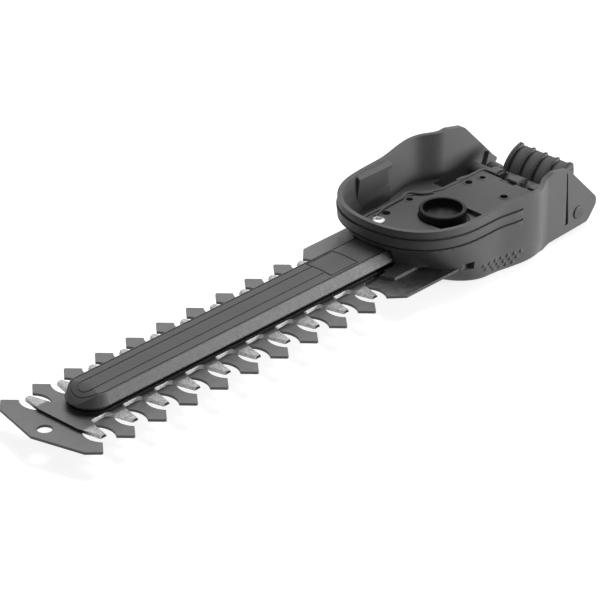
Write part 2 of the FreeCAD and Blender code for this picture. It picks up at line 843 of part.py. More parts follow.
def floor_tray():
    tray = slab(tray_wire(), tray_bottom_z, tray_top_z)
    ring = collar_radius + collar_window_gap
    cuts = [
        post(0, 0, 0, far, ring),
        block(-collar_radius, -collar_radius + window_length, -window_near_y, -window_far_y, 0, far),
    ]
    for x, y, radius in tray_holes:
        cuts.append(post(x, y, 0, far, radius))
    for side in (-1, 1):
        cuts.append(post(tray_screw_x, side * tray_screw_y, 0, far, tray_screw_radius + 0.1))
    return tray.cut(cuts)


def drive_collar():
    flange_z = tray_bottom_z - collar_flange_thickness
    lip_z = flange_z - collar_lip_thickness
    body = joined([
        post(0, 0, lip_z, collar_top_z, collar_radius),
        post(0, 0, flange_z, tray_bottom_z, collar_radius + collar_flange),
    ])
    rim = [
        edge for edge in body.Edges
        if abs(edge.BoundBox.ZMin - collar_top_z) < 0.01
    ]
    body = body.makeChamfer(collar_chamfer, rim)
    return body.cut([
        post(0, 0, disc_z + crank_disc_thickness + crank_disc_drop, far, collar_bore),
        post(0, 0, lip_z + collar_lip_thickness, far, collar_seat_radius),
        post(0, 0, -far, far, collar_lip_radius),
    ])


def crank_disc():
    disc = post(0, 0, disc_z, disc_z + crank_disc_thickness, collar_seat_radius - pin_running_gap)
    pin = post(crank_rest_x, crank_rest_y, moving_top_z + crank_running_gap, disc_z, crank_pin_radius)
    hole_z = disc_z + crank_disc_thickness - drive_hole_depth
    hole = post(crank_rest_x, crank_rest_y, hole_z, far, drive_hole_radius)
    return joined([disc, pin]).cut(hole)


def blade_screws():
    screws = []
    for x, y in blade_screw_places:
        for side in (-1, 1):
            screws.append(screw_up(
                x, side * y, -fixed_thickness, blade_screw_reach,
                blade_screw_radius, blade_screw_head_radius, blade_screw_head_height,
            ))
    return Part.makeCompound(screws)


def tray_screws():
    screws = []
    for side in (-1, 1):
        screw = screw_up(0, 0, 0, tray_top_z - 1.8, tray_screw_radius,
                         tray_screw_head_radius, tray_screw_head_height)
        screw.rotate(vec(0, 0), vec(1, 0), 180)
        screw.translate(vec(tray_screw_x, side * tray_screw_y, tray_top_z))
        screws.append(screw)
    return Part.makeCompound(screws)


def cover_screws():
    screws = []
    for side in (-1, 1):
        screws.append(screw_up(
            cover_screw_x, side * cover_screw_y, cover_screw_seat_z, cover_screw_reach,
            cover_screw_radius, cover_screw_head_radius, cover_screw_head_height,
        ))
    return Part.makeCompound(screws)


# Lever
def ridge_profile():
    """The ridged section of the thumb paddle, drawn outwards from its arc's centre."""
    outline = Outline(lever_inner, -lever_half)
    outline.line(lever_crest, -lever_half)
    for i in range(ridge_count):
        y = ridge_pitch * (i - (ridge_count - 1) / 2)
        if i > 0:
            outline.arc(lever_floor - lever_floor_sag, y - ridge_pitch / 2,
                        lever_floor, y - ridge_foot_half)
            outline.line(lever_crest, y - ridge_half)
        if i < ridge_count - 1:
            outline.line(lever_crest, y + ridge_half)
            outline.line(lever_floor, y + ridge_foot_half)
    outline.line(lever_crest, lever_half)
    outline.line(lever_inner, lever_half)
    return outline.wire()


def catch_hook(middle_y, half):
    """A flat hook that reaches forward from the lever's hub."""
    reach_x = pivot_x + 1
    corners = [
        (hook_front_x, hook_top_z - hook_thickness, 0.4), (pivot_x - 3.5, hook_top_z - 3.6, 0),
        (reach_x, pivot_z + 1, 0), (reach_x, pivot_z + lever_hub_radius - 0.5, 0),
        (pivot_x - 3, hook_top_z, 1), (hook_front_x, hook_top_z, 0.4),
    ]
    side = Part.Face(rounded_wire(corners))
    side.rotate(vec(0, 0), vec(1, 0), 90)
    side.translate(vec(0, middle_y + half))
    return side.extrude(vec(0, -2 * half))


def lever_drum(radius, y, width):
    """A drum about the axis of the paddle's arc."""
    return Part.makeCylinder(radius, width, vec(lever_arc_x, y, lever_arc_z), vec(0, 1))


def release_lever():
    section = Part.Face(ridge_profile())
    centre = vec(lever_arc_x, 0, lever_arc_z)
    section.translate(centre)
    section.rotate(centre, vec(0, 1), 180)
    paddle = section.revolve(centre, vec(0, 1), lever_sweep)
    hub = Part.makeCylinder(lever_hub_radius, 2 * lever_half, vec(pivot_x, -lever_half, pivot_z),
                            vec(0, 1))
    webs = []
    for y in (-lever_half, lever_half - lever_web):
        ring = lever_drum(lever_inner + 0.5, y, lever_web)
        keep = block(pivot_x, lever_arc_x - lever_web, y, y + lever_web, lever_arc_z, far)
        webs.append(ring.cut(lever_drum(lever_inner - lever_web_depth, y, lever_web)).common(keep))
    pad = block(spring_x - spring_pad_half, spring_x + spring_pad_half, -spring_pad_half,
                spring_pad_half, spring_pad_z, lever_arc_z + lever_inner)
    pad = pad.common(lever_drum(lever_inner + 1, -spring_pad_half, 2 * spring_pad_half))
    hooks = [catch_hook(0, hook_half)]
    hooks += [catch_hook(side * hook_offset, hook_outer_half) for side in (-1, 1)]
    lever = joined([paddle, hub, pad] + webs + hooks)
    bore = Part.makeCylinder(pin_radius + pin_running_gap, 2 * far, vec(pivot_x, -far, pivot_z),
                             vec(0, 1))
    return lever.cut(bore)


def lever_pin():
    reach = ear_half - pin_recess
    return Part.makeCylinder(pin_radius, 2 * reach, vec(pivot_x, -reach, pivot_z), vec(0, 1))


def lever_spring():
    """A coil of wire with flat faces, built from sections set round its axis."""
    z0 = ear_floor_z + rear_floor
    rise = spring_pad_z - z0 - spring_wire
    count = spring_turns * spring_steps
    middle = spring_radius - spring_wire / 2
    sections = []
    for i in range(count + 1):
        turn = 2 * math.pi * i / spring_steps
        corners = []
        for k in range(spring_sides + 1):
            angle = 2 * math.pi * k / spring_sides
            reach = middle + spring_wire / 2 * math.cos(angle)
            z = z0 + spring_wire / 2 + rise * i / count + spring_wire / 2 * math.sin(angle)
            corners.append(vec(spring_x + reach * math.cos(turn), reach * math.sin(turn), z))
        sections.append(Part.makePolygon(corners))
    return Part.makeLoft(sections, True, True)


pieces = {
    "housing": housing(),
    "base_cover": base_cover(),
    "floor_tray": floor_tray(),
    "drive_collar": drive_collar(),
    "crank_disc": crank_disc(),
    "fixed_blade": fixed_blade(),
    "moving_blade": moving_blade(),
    "blade_rib": blade_rib(),
    "slide_strip": slide_strip(),
    "tray_screws": tray_screws(),
    "blade_screws": blade_screws(),
    "cover_screws": cover_screws(),
    "release_lever": release_lever(),
    "lever_pin": lever_pin(),
    "lever_spring": lever_spring(),
}
for number, place in enumerate(bush_places, 1):
    pieces[f"guide_bush_{number}"] = guide_bush(place)
    pieces[f"rib_screw_{number}"] = rib_screw(place)

for name, shape in pieces.items():
    shape.translate(vec(0, 0, -collar_top_z))
    shape.exportStep(f"parts/{name}.step")
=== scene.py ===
import math
import bmesh
import bpy
from mathutils import Matrix, Vector
from mathutils.bvhtree import BVHTree
from mathutils.kdtree import KDTree


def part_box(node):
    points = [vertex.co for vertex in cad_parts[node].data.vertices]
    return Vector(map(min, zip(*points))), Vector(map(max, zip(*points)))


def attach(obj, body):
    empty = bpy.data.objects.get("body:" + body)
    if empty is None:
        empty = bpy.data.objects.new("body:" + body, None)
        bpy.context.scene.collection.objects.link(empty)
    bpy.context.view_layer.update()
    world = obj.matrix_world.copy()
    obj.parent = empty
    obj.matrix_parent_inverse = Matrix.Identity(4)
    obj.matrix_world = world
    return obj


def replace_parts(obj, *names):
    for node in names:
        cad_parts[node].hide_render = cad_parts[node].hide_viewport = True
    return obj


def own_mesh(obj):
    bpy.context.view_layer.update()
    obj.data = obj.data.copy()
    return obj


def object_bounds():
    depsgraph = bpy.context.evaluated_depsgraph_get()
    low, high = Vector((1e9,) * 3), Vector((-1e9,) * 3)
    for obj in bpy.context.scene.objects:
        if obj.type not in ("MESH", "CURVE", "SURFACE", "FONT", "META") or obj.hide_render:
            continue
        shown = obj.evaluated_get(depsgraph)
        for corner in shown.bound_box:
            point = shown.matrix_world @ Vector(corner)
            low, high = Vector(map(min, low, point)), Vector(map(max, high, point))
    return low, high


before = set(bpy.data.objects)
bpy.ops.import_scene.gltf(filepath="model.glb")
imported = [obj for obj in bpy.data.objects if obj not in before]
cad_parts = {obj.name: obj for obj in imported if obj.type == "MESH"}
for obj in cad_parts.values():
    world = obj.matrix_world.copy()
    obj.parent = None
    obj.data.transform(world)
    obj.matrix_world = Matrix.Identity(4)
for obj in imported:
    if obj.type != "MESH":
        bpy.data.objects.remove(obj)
cad_low, cad_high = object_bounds()

# The scene is in metres in the row frame: X runs along the blades, the teeth point out along Y,
# and zero height is the rim of the drive collar. Plain lengths below are mm, with heights from
# the plane where the two blades meet. The rim lies RIM_Z above that plane.
MM = 0.001
RIM_Z = 11.3
TRAY_TOP_Z = 7.1

# The two grooves round the housing, and the laps made of them.
GROOVE_HEIGHTS = (14.6, 20.3)
GROOVE_WIDTH = 1.0
GROOVE_END_X = 12.0
LAP_TOP_OUT = 0.6
LAP_FOOT_IN = 0.35
LAP_LIP_OUT = 0.5
LAP_FADE_X = 8.0

# The sag of the rim in front of the ears: its depth and start on the side of each sign of Y.
RIM_SAGS = {-1: (2.8, 19.0), 1: (1.3, 27.0)}
SAG_SLOPE = 14.0
SAG_LENGTH = 17.0
SAG_END_X = 50.0
SAG_LOW_Z = 14.8
SAG_HIGH_Z = 23.8

# The ears' grooves, and the bosses on the lever's pin.
EAR_GROOVE_X = 51.7
EAR_GROOVE_FLOOR_Y = 35.3
EAR_GROOVE_LOW_Z = -5.3
EAR_GROOVE_RISE = 28.7
EAR_GROOVE_FOOT_HALF = 1.85
EAR_GROOVE_NARROWING = 1.45
EAR_STEP_FOOT = 1.2
EAR_STEP_FADING = 0.7
EAR_FACE_Y = 35.95
PIVOT_X = 61.0
PIVOT_Z = -1.4
BOSS_RADIUS = 6.6
SLIM_BOSS_RADIUS = 3.7
CATCH_LIP_Z = 4.9

# The thumb lever's curved paddle, its five ridges and its hooks.
ARC_X = 81.0
ARC_Z = -4.4
ARC_SWEEP = 82.0
SUNK_REACH = 14.7
RIDGE_COUNT = 5
RIDGE_PITCH = 7.9
RIDGE_END = 17.6
PIN_CLEARANCE = 3.3
HOOK_SIDE = ((52.0, 5.6), (52.0, 6.7), (52.3, 7.0), (57.0, 7.0), (60.5, 5.6), (60.5, 2.0),
             (57.0, 2.0), (56.0, 5.2))
HOOKS = ((0.0, 3.1), (-13.8, 2.6), (13.8, 2.6))

# The stops inside the ears, and the outline of the thicker part that carries them.
STOP_X = 72.0
STOP_Z = -3.6
PAD_SIDE = ((65.6, -7.6), (70.3, 5.6), (76.3, 0.4), (76.4, -0.8), (69.4, -8.2), (67.6, -8.6))

# The notches in the tray's rear edge: front X, half width and depth.
TRAY_NOTCHES = ((49.6, 16.4, 3.0), (47.7, 4.6, 3.1))

# Small forms on the tray and the lower cover. A hole has X, Y and radius. A row of bumps has its
# start along X, their count and the row's height.
LONG_BEAD = ((-24.3, 22.8, 7.4), (-16.0, 24.9, 7.5), (-8.0, 25.5, 7.7), (-1.0, 25.9, 7.9),
             (1.8, 27.2, 8.0), (5.4, 26.6, 8.0), (8.9, 21.8, 7.8), (14.0, 18.9, 7.5))
SHORT_BEAD = ((31.4, 19.1, 7.7), (35.0, 18.6, 8.0), (38.8, 17.9, 7.8))
TRAY_HOLES = ((35.0, 14.0, 2.0), (43.6, 12.4, 1.6), (35.4, -9.2, 2.0), (1.0, 23.0, 1.8))
GRIP_ROWS = ((-12.7, 7, -2.3), (-10.7, 6, -4.9), (-4.5, 4, -7.5))
GRIP_PITCH = 4.08

# Screws: radius and height of the head, radius and length of the shank. Seats are on the left side.
TRAY_SCREW = (3.7, 1.4, 1.6, 5.0)
TRAY_SCREW_SEAT = (-26.6, 18.7, TRAY_TOP_Z)
COVER_SCREW = (3.2, 1.8, 1.6, 7.0)
COVER_SCREW_SEAT = (21.5, 30.0, -6.0)
RIB_SCREW = (3.75, 2.2, 1.95, 9.0)
RIB_SCREW_SEAT_Z = -1.4

CAMERA_AZIMUTH = math.radians(46.414)
CAMERA_ELEVATION = math.radians(28.786)
CAMERA_PLACE = Vector((-1.34858, -1.18673, 0.93425))
CAMERA_LENS = 246.8
CAMERA_SENSOR = 36.0
CAMERA_REACH = 50.0

# Lamps: place, width and height in metres, power in watts.
LAMPS = (
    ("key", (0.80, -0.92, 0.10), 0.55, 0.24, 15.0),
    ("top", (0.45, 0.2, 1.30), 0.7, 0.7, 10.5),
)

# The direction that the sky is brightest in, and its levels away from it and there.
BRIGHT_SKY = Vector((0.65, 0.0, 0.75)).normalized()
SKY_LEVELS = (0.015, 0.32)

# The floor's half width in metres, its own grey and glow, and the grey that it lights the object with.
FLOOR_HALF = 6.0
FLOOR_GREY = 0.6
FLOOR_GLOW = 0.8
FLOOR_BOUNCE = 0.12

BEVEL_SAMPLES = 4
STEEL_EDGE = 0.1 * MM
ROLLED_STREAKS = (40.0, 900.0, 40.0)
GRINDING_MARKS = (2200.0, 500.0, 500.0)
# Near black of the sheared ends: their dull finish and painted shade on the upright faces.
SHEARED_AND_SHADED_GREY = 0.03


# Shader helpers


def feed(tree, socket, value):
    """Gives a socket its value, or links it where the value is itself a socket."""
    if isinstance(value, bpy.types.NodeSocket):
        tree.links.new(value, socket)
    else:
        socket.default_value = value


def node(tree, kind, **inputs):
    """A new shader node with the values of its inputs."""
    made = tree.nodes.new(kind)
    for name, value in inputs.items():
        feed(tree, made.inputs[name.replace("_", " ")], value)
    return made


def grey(level):
    return (level, level, level, 1.0)


def noise(tree, place, scale, detail=3.0, roughness=0.5):
    made = node(tree, "ShaderNodeTexNoise", Vector=place, Scale=scale, Detail=detail, Roughness=roughness)
    return made.outputs["Fac"]


def spread(tree, value, low, high, to_low, to_high):
    """The value, stretched from one range to another and kept inside it."""
    made = node(tree, "ShaderNodeMapRange", Value=value, From_Min=low, From_Max=high,
                To_Min=to_low, To_Max=to_high)
    made.clamp = True
    return made.outputs["Result"]


def math_node(tree, operation, first, second=0.0):
    made = tree.nodes.new("ShaderNodeMath")
    made.operation = operation
    feed(tree, made.inputs[0], first)
    feed(tree, made.inputs[1], second)
    return made.outputs[0]


def vector_node(tree, operation, first, second=(0.0, 0.0, 0.0)):
    made = tree.nodes.new("ShaderNodeVectorMath")
    made.operation = operation
    feed(tree, made.inputs[0], first)
    feed(tree, made.inputs[1], second)
    return made


def blend(tree, first, second, share):
    """A weighted sum of two values: the share of the first, and the rest of the second."""
    return math_node(tree, "ADD", math_node(tree, "MULTIPLY", first, share),
                     math_node(tree, "MULTIPLY", second, 1 - share))


def mix_colour(tree, factor, first, second):
    made = tree.nodes.new("ShaderNodeMix")
    made.data_type = "RGBA"
    for index, value in ((0, factor), (6, first), (7, second)):
        feed(tree, made.inputs[index], value)
    return made.outputs[2]


def new_material(name):
    """An empty material with its tree, its shader and the object's own coordinates."""
    material = bpy.data.materials.new(name)
    material.use_nodes = True
    tree = material.node_tree
    shader = tree.nodes["Principled BSDF"]
    place = tree.nodes.new("ShaderNodeTexCoord").outputs["Object"]
    return material, tree, shader, place


def bump(tree, height, strength, distance, normal):
    made = node(tree, "ShaderNodeBump", Height=height, Strength=strength, Distance=distance, Normal=normal)
    return made.outputs["Normal"]


def soft_edges(tree, radius):
    made = node(tree, "ShaderNodeBevel", Radius=radius)
    made.samples = BEVEL_SAMPLES
    return made.outputs["Normal"]


def edge_rub_and_highlight(tree, rounded, strength):
    """A mask of rubbed wear and painted highlight: it rises to the strength along sharp edges, where the
    rounded normal leaves the true one.
    """
    true = tree.nodes.new("ShaderNodeNewGeometry").outputs["Normal"]
    likeness = vector_node(tree, "DOT_PRODUCT", true, rounded).outputs["Value"]
    lost = math_node(tree, "SUBTRACT", 1.0, likeness)
    return math_node(tree, "MULTIPLY", spread(tree, lost, 0.02, 0.25, 0.0, 1.0), strength)


def facing_up(tree):
    """One on level faces, falling to zero on upright ones."""
    geometry = tree.nodes.new("ShaderNodeNewGeometry")
    split = node(tree, "ShaderNodeSeparateXYZ", Vector=geometry.outputs["Normal"])
    return math_node(tree, "ABSOLUTE", split.outputs["Z"])


# Finishes


def moulded_plastic(name, level, roughness=0.52, edge=0.35 * MM, grain=0.5, rub_and_highlight=0.3, gloss=0.35):
    """Dark moulded plastic: fine spark grain, faint flow clouds and edges lightened as rubbed wear and
    painted highlight.
    """
    material, tree, shader, place = new_material(name)
    rounded = soft_edges(tree, edge)
    clouds = noise(tree, place, 38.0, 4.0)
    fine = noise(tree, place, 2600.0, 2.0)
    specks = noise(tree, place, 900.0, 3.0, 0.6)
    share = spread(tree, blend(tree, clouds, specks, 0.6), 0.35, 0.65, 0.0, 1.0)
    base = mix_colour(tree, share, grey(level * 0.92), grey(level * 1.08))
    # Lighter edges: rubbed wear and painted highlight.
    rubbed_and_highlit = mix_colour(tree, edge_rub_and_highlight(tree, rounded, rub_and_highlight), base, grey(level * 2.2))
    height = math_node(tree, "ADD", fine, math_node(tree, "MULTIPLY", specks, 0.8))
    feed(tree, shader.inputs["Base Color"], rubbed_and_highlit)
    sheen = spread(tree, specks, 0.3, 0.7, roughness - 0.06, roughness + 0.08)
    feed(tree, shader.inputs["Roughness"], sheen)
    feed(tree, shader.inputs["Normal"], bump(tree, height, grain, 0.05 * MM, rounded))
    shader.inputs["IOR"].default_value = 1.46
    shader.inputs["Specular IOR Level"].default_value = gloss
    return material


def stamped_steel(name, level, roughness=0.5):
    """Grey blade steel: rolled streaks, oil mottling, sheared edges darkened as their dull finish and
    painted shade, and a painted highlight along their rim.
    """
    material, tree, shader, place = new_material(name)
    rounded = soft_edges(tree, STEEL_EDGE)
    mapping = node(tree, "ShaderNodeMapping", Vector=place, Scale=ROLLED_STREAKS)
    rolled = noise(tree, mapping.outputs["Vector"], 1.0, 4.0, 0.6)
    mottle = noise(tree, place, 260.0, 5.0, 0.6)
    pits = noise(tree, place, 1700.0, 2.0)
    share = spread(tree, blend(tree, rolled, mottle, 0.4), 0.36, 0.64, 0.0, 1.0)
    flat = mix_colour(tree, share, grey(level * 0.92), grey(level * 1.08))
    # Upright faces darker: their sheared finish and painted shade.
    sheared_and_shaded = spread(tree, facing_up(tree), 0.3, 0.7, 1.0, 0.0)
    base = mix_colour(tree, sheared_and_shaded, flat, grey(level * 0.5))
    # Painted highlight along the sharp edges.
    bright = mix_colour(tree, edge_rub_and_highlight(tree, rounded, 0.35), base, grey(level * 2.2))
    height = math_node(tree, "ADD", rolled, math_node(tree, "MULTIPLY", pits, 0.6))
    feed(tree, shader.inputs["Base Color"], bright)
    sheen = spread(tree, mottle, 0.3, 0.7, roughness - 0.06, roughness + 0.1)
    feed(tree, shader.inputs["Roughness"], sheen)
    feed(tree, shader.inputs["Normal"], bump(tree, height, 0.3, 0.03 * MM, rounded))
    shader.inputs["Metallic"].default_value = 1.0
    return material


def ground_steel(name, top_level, ground_level, body_half):
    """Moving blade steel: a grey body, near-black sheared ends from their dull finish and painted shade, and
    bright teeth marked by grinding.
    """
    material, tree, shader, place = new_material(name)
    rounded = soft_edges(tree, STEEL_EDGE)
    up = facing_up(tree)
    bevel = math_node(tree, "MULTIPLY", spread(tree, up, 0.9, 0.98, 1.0, 0.0),
                      spread(tree, up, 0.2, 0.4, 0.0, 1.0))
    split = node(tree, "ShaderNodeSeparateXYZ", Vector=place)
    aside = math_node(tree, "ABSOLUTE", split.outputs["Y"])
    tooth = spread(tree, aside, body_half, body_half + 1.5 * MM, 0.0, 1.0)
    ground = math_node(tree, "MAXIMUM", math_node(tree, "MULTIPLY", bevel, 0.35), tooth)
    mapping = node(tree, "ShaderNodeMapping", Vector=place, Scale=GRINDING_MARKS)
    marks = noise(tree, mapping.outputs["Vector"], 1.0, 5.0, 0.7)
    mottle = noise(tree, place, 1100.0, 5.0, 0.65)
    top = mix_colour(tree, spread(tree, mottle, 0.35, 0.65, 0.0, 1.0),
                     grey(top_level * 0.9), grey(top_level * 1.1))
    speckled = blend(tree, marks, mottle, 0.5)
    cut = mix_colour(tree, spread(tree, speckled, 0.4, 0.6, 0.0, 1.0),
                     grey(ground_level * 0.55), grey(ground_level * 1.4))
    faces = mix_colour(tree, ground, top, cut)
    # Upright faces near black: the sheared finish and painted shade.
    sheared_and_shaded = spread(tree, up, 0.1, 0.3, 1.0, 0.0)
    feed(tree, shader.inputs["Base Color"], mix_colour(tree, sheared_and_shaded, faces, grey(SHEARED_AND_SHADED_GREY)))
    feed(tree, shader.inputs["Roughness"], spread(tree, speckled, 0.35, 0.65, 0.36, 0.52))
    feed(tree, shader.inputs["Normal"], bump(tree, speckled, 0.6, 0.05 * MM, rounded))
    shader.inputs["Metallic"].default_value = 1.0
    return material


def turned_metal(name, level, roughness, rings=2200.0):
    """Metal with the fine rings of a lathe round the upright axis of the drive collar."""
    material, tree, shader, place = new_material(name)
    rounded = soft_edges(tree, 0.15 * MM)
    level_place = vector_node(tree, "MULTIPLY", place, (1.0, 1.0, 0.0)).outputs["Vector"]
    reach = vector_node(tree, "LENGTH", level_place).outputs["Value"]
    along = node(tree, "ShaderNodeCombineXYZ", X=reach)
    lathe = noise(tree, along.outputs["Vector"], rings, 3.0, 0.7)
    mottle = noise(tree, place, 300.0, 4.0)
    share = spread(tree, blend(tree, lathe, mottle, 0.6), 0.35, 0.65, 0.0, 1.0)
    turned = mix_colour(tree, share, grey(level * 0.8), grey(level * 1.15))
    feed(tree, shader.inputs["Base Color"], turned)
    sheen = spread(tree, mottle, 0.3, 0.7, roughness - 0.06, roughness + 0.1)
    feed(tree, shader.inputs["Roughness"], sheen)
    feed(tree, shader.inputs["Normal"], bump(tree, lathe, 0.4, 0.03 * MM, rounded))
    shader.inputs["Metallic"].default_value = 1.0
    return material


# Surroundings


def seen_ray(tree):
    """One for the rays that show the surroundings: straight, mirrored or through glass."""
    path = tree.nodes.new("ShaderNodeLightPath")
    straight = math_node(tree, "MAXIMUM", path.outputs["Is Camera Ray"], path.outputs["Is Glossy Ray"])
    return math_node(tree, "MAXIMUM", straight, path.outputs["Is Transmission Ray"])


def floor_material():
    """Pale floor that the camera sees as white outside the object's shadow."""
    material, tree, shader, place = new_material("pale_floor")
    tree.nodes.remove(shader)
    lit = node(tree, "ShaderNodeBsdfDiffuse", Color=grey(FLOOR_GREY))
    dull = node(tree, "ShaderNodeBsdfDiffuse", Color=grey(FLOOR_BOUNCE))
    glow = node(tree, "ShaderNodeEmission", Color=grey(1.0), Strength=FLOOR_GLOW)
    seen = node(tree, "ShaderNodeAddShader")
    feed(tree, seen.inputs[0], lit.outputs[0])
    feed(tree, seen.inputs[1], glow.outputs[0])
    mixed = node(tree, "ShaderNodeMixShader", Fac=seen_ray(tree))
    feed(tree, mixed.inputs[1], dull.outputs[0])
    feed(tree, mixed.inputs[2], seen.outputs[0])
    tree.links.new(mixed.outputs[0], tree.nodes["Material Output"].inputs["Surface"])
    return material


def make_floor():
    mesh = bpy.data.meshes.new("floor")
    sides = ((-1, -1), (1, -1), (1, 1), (-1, 1))
    corners = [(x * FLOOR_HALF, y * FLOOR_HALF, cad_low.z) for x, y in sides]
    mesh.from_pydata(corners, [], [(0, 1, 2, 3)])
    floor = bpy.data.objects.new("floor", mesh)
    bpy.context.scene.collection.objects.link(floor)
    mesh.materials.append(floor_material())


def make_world():
    """White for the camera, and a soft gradient from one side for light and gloss."""
    world = bpy.data.worlds.new("studio")
    bpy.context.scene.world = world
    world.use_nodes = True
    tree = world.node_tree
    tree.nodes.clear()
    output = tree.nodes.new("ShaderNodeOutputWorld")
    place = tree.nodes.new("ShaderNodeTexCoord").outputs["Generated"]
    toward = vector_node(tree, "DOT_PRODUCT", place, BRIGHT_SKY)
    level = spread(tree, toward.outputs["Value"], -0.1, 0.9, SKY_LEVELS[0], SKY_LEVELS[1])
    dim = node(tree, "ShaderNodeBackground", Color=grey(1.0), Strength=level)
    white = node(tree, "ShaderNodeBackground", Color=grey(1.0), Strength=1.0)
    mixed = node(tree, "ShaderNodeMixShader", Fac=seen_ray(tree))
    feed(tree, mixed.inputs[1], dim.outputs[0])
    feed(tree, mixed.inputs[2], white.outputs[0])
    tree.links.new(mixed.outputs[0], output.inputs["Surface"])


def make_lights():
    """The flat lamps, which all face the middle of the object."""
    middle = (cad_low + cad_high) / 2
    for name, place, width, height, power in LAMPS:
        lamp = bpy.data.lights.new(name, "AREA")
        lamp.shape = "RECTANGLE"
        lamp.size = width
        lamp.size_y = height
        lamp.energy = power
        holder = bpy.data.objects.new(name, lamp)
        holder.location = place
        holder.rotation_euler = (middle - Vector(place)).to_track_quat("-Z", "Y").to_euler()
        bpy.context.scene.collection.objects.link(holder)


def make_camera():
    camera = bpy.data.cameras.new("camera")
    camera.sensor_width = CAMERA_SENSOR
    camera.lens = CAMERA_LENS
    camera.clip_end = CAMERA_REACH
    holder = bpy.data.objects.new("camera", camera)
    across = math.cos(CAMERA_ELEVATION)
    forward = Vector((math.sin(CAMERA_AZIMUTH) * across, math.cos(CAMERA_AZIMUTH) * across,
                      -math.sin(CAMERA_ELEVATION)))
    holder.location = CAMERA_PLACE
    holder.rotation_euler = forward.to_track_quat("-Z", "Y").to_euler()
    bpy.context.scene.collection.objects.link(holder)
    bpy.context.scene.camera = holder


# Shape helpers


def at(x, y, z):
    """A point in metres in the row frame, from mm and a height above the blades' plane."""
    return Vector((x * MM, y * MM, (z - RIM_Z) * MM))


def measured(point):
    """A point's place in mm, with its height above the blades' plane."""
    return point.x / MM, point.y / MM, point.z / MM + RIM_Z


def turned_to(direction, place):
    """The frame at one place whose Z axis points along a direction."""
    turn = Vector(direction).to_track_quat("Z", "Y").to_matrix().to_4x4()
    turn.translation = place
    return turn


def blend_between(value, low, high):
    """Rises smoothly from zero to one between two values."""
    share = min(max((value - low) / (high - low), 0.0), 1.0)
    return share * share * (3 - 2 * share)


def copied(name):
    """One node's mesh as an editable mesh whose faces share their corners."""
    copy = bmesh.new()
    copy.from_mesh(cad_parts[name].data)
    bmesh.ops.remove_doubles(copy, verts=copy.verts, dist=0.001 * MM)
    return copy


def piece_from(name, mesh_data, material, body, crease=35.0):
    """A new object that rides on a body, made from a filled editable mesh."""
    bmesh.ops.recalc_face_normals(mesh_data, faces=mesh_data.faces)
    mesh = bpy.data.meshes.new(name)
    mesh_data.to_mesh(mesh)
    mesh_data.free()
    mesh.materials.append(material)
    mesh.polygons.foreach_set("use_smooth", [True] * len(mesh.polygons))
    mesh.set_sharp_from_angle(angle=math.radians(crease))
    made = bpy.data.objects.new(name, mesh)
    bpy.context.scene.collection.objects.link(made)
    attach(made, body)
    return made


def reshaped(name, node_name, shapers, material, body):
    """A copy of one node's mesh with moved points, whose fine shading follows the moves."""
    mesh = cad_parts[node_name].data.copy()
    mesh.name = name
    shell = copied(node_name)
    before = KDTree(len(shell.verts))
    for i, vert in enumerate(shell.verts):
        before.insert(vert.co, i)
    before.balance()
    for shaper in shapers:
        shaper(shell)
    after = [vert.co.copy() for vert in shell.verts]
    shell.free()
    corners = [corner.vector.copy() for corner in mesh.corner_normals]
    facing = [face.normal.copy() for face in mesh.polygons]
    for vert in mesh.vertices:
        vert.co = after[before.find(vert.co)[1]]
    mesh.update()
    for face, old in zip(mesh.polygons, facing):
        turn = old.rotation_difference(face.normal)
        if turn.angle > 0.001:
            for i in face.loop_indices:
                corners[i] = turn @ corners[i]
    mesh.normals_split_custom_set(corners)
    mesh.materials.clear()
    mesh.materials.append(material)
    made = bpy.data.objects.new(name, mesh)
    bpy.context.scene.collection.objects.link(made)
    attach(made, body)
    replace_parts(made, node_name)
    return made


def dress(names, material):
    """Gives carried-over solids their finish."""
    for name in names:
        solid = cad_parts[name]
        solid.data.materials.clear()
        solid.data.materials.append(material)


def add_rings(target, rings, close_start=True, close_end=True):
    """Joins rings of equally many points with faces, and fills the first and last ring."""
    loops = [[target.verts.new(point) for point in ring] for ring in rings]
    count = len(loops[0])
    for before, after in zip(loops, loops[1:]):
        for i in range(count):
            j = (i + 1) % count
            target.faces.new((before[i], before[j], after[j], after[i]))
    if close_start:
        target.faces.new(loops[0])
    if close_end:
        target.faces.new(loops[-1])


def add_placed_rings(target, turn, rings):
    """Joins rings of points that are given in a turned frame."""
    add_rings(target, [[turn @ point for point in ring] for ring in rings])


def circle(radius, height, count, lobe=0.0):
    """A level ring of points round the Z axis, with six lobes if asked."""
    points = []
    for i in range(count):
        angle = 2 * math.pi * i / count
        reach = radius + lobe * math.cos(6 * angle)
        points.append(Vector((reach * math.cos(angle), reach * math.sin(angle), height)))
    return points


def add_slab(target, outline, near, far):
    """A plate between two planes of Y, from an outline of X and Z."""
    add_rings(target, [[at(x, y, z) for x, z in outline] for y in (near, far)])


def add_tube(target, path, radius, sides):
    """A round bar along a path of centres, each with its two directions across."""
    rings = []
    for centre, first, second in path:
        ring = []
        for k in range(sides):
            turn = 2 * math.pi * k / sides
            ring.append(centre + first * radius * math.cos(turn) + second * radius * math.sin(turn))
        rings.append(ring)
    add_rings(target, rings)


def add_dome(target, place, normal, radius, height):
    """A shallow round bump whose foot is sunk a little into the surface."""
    steps = 4
    count = 14
    sunk = -0.15 * MM
    rings = [circle(radius, sunk, count)]
    for i in range(steps):
        angle = math.pi / 2 * i / steps
        rings.append(circle(radius * math.cos(angle), height * math.sin(angle), count))
    add_placed_rings(target, turned_to(normal, place), rings)


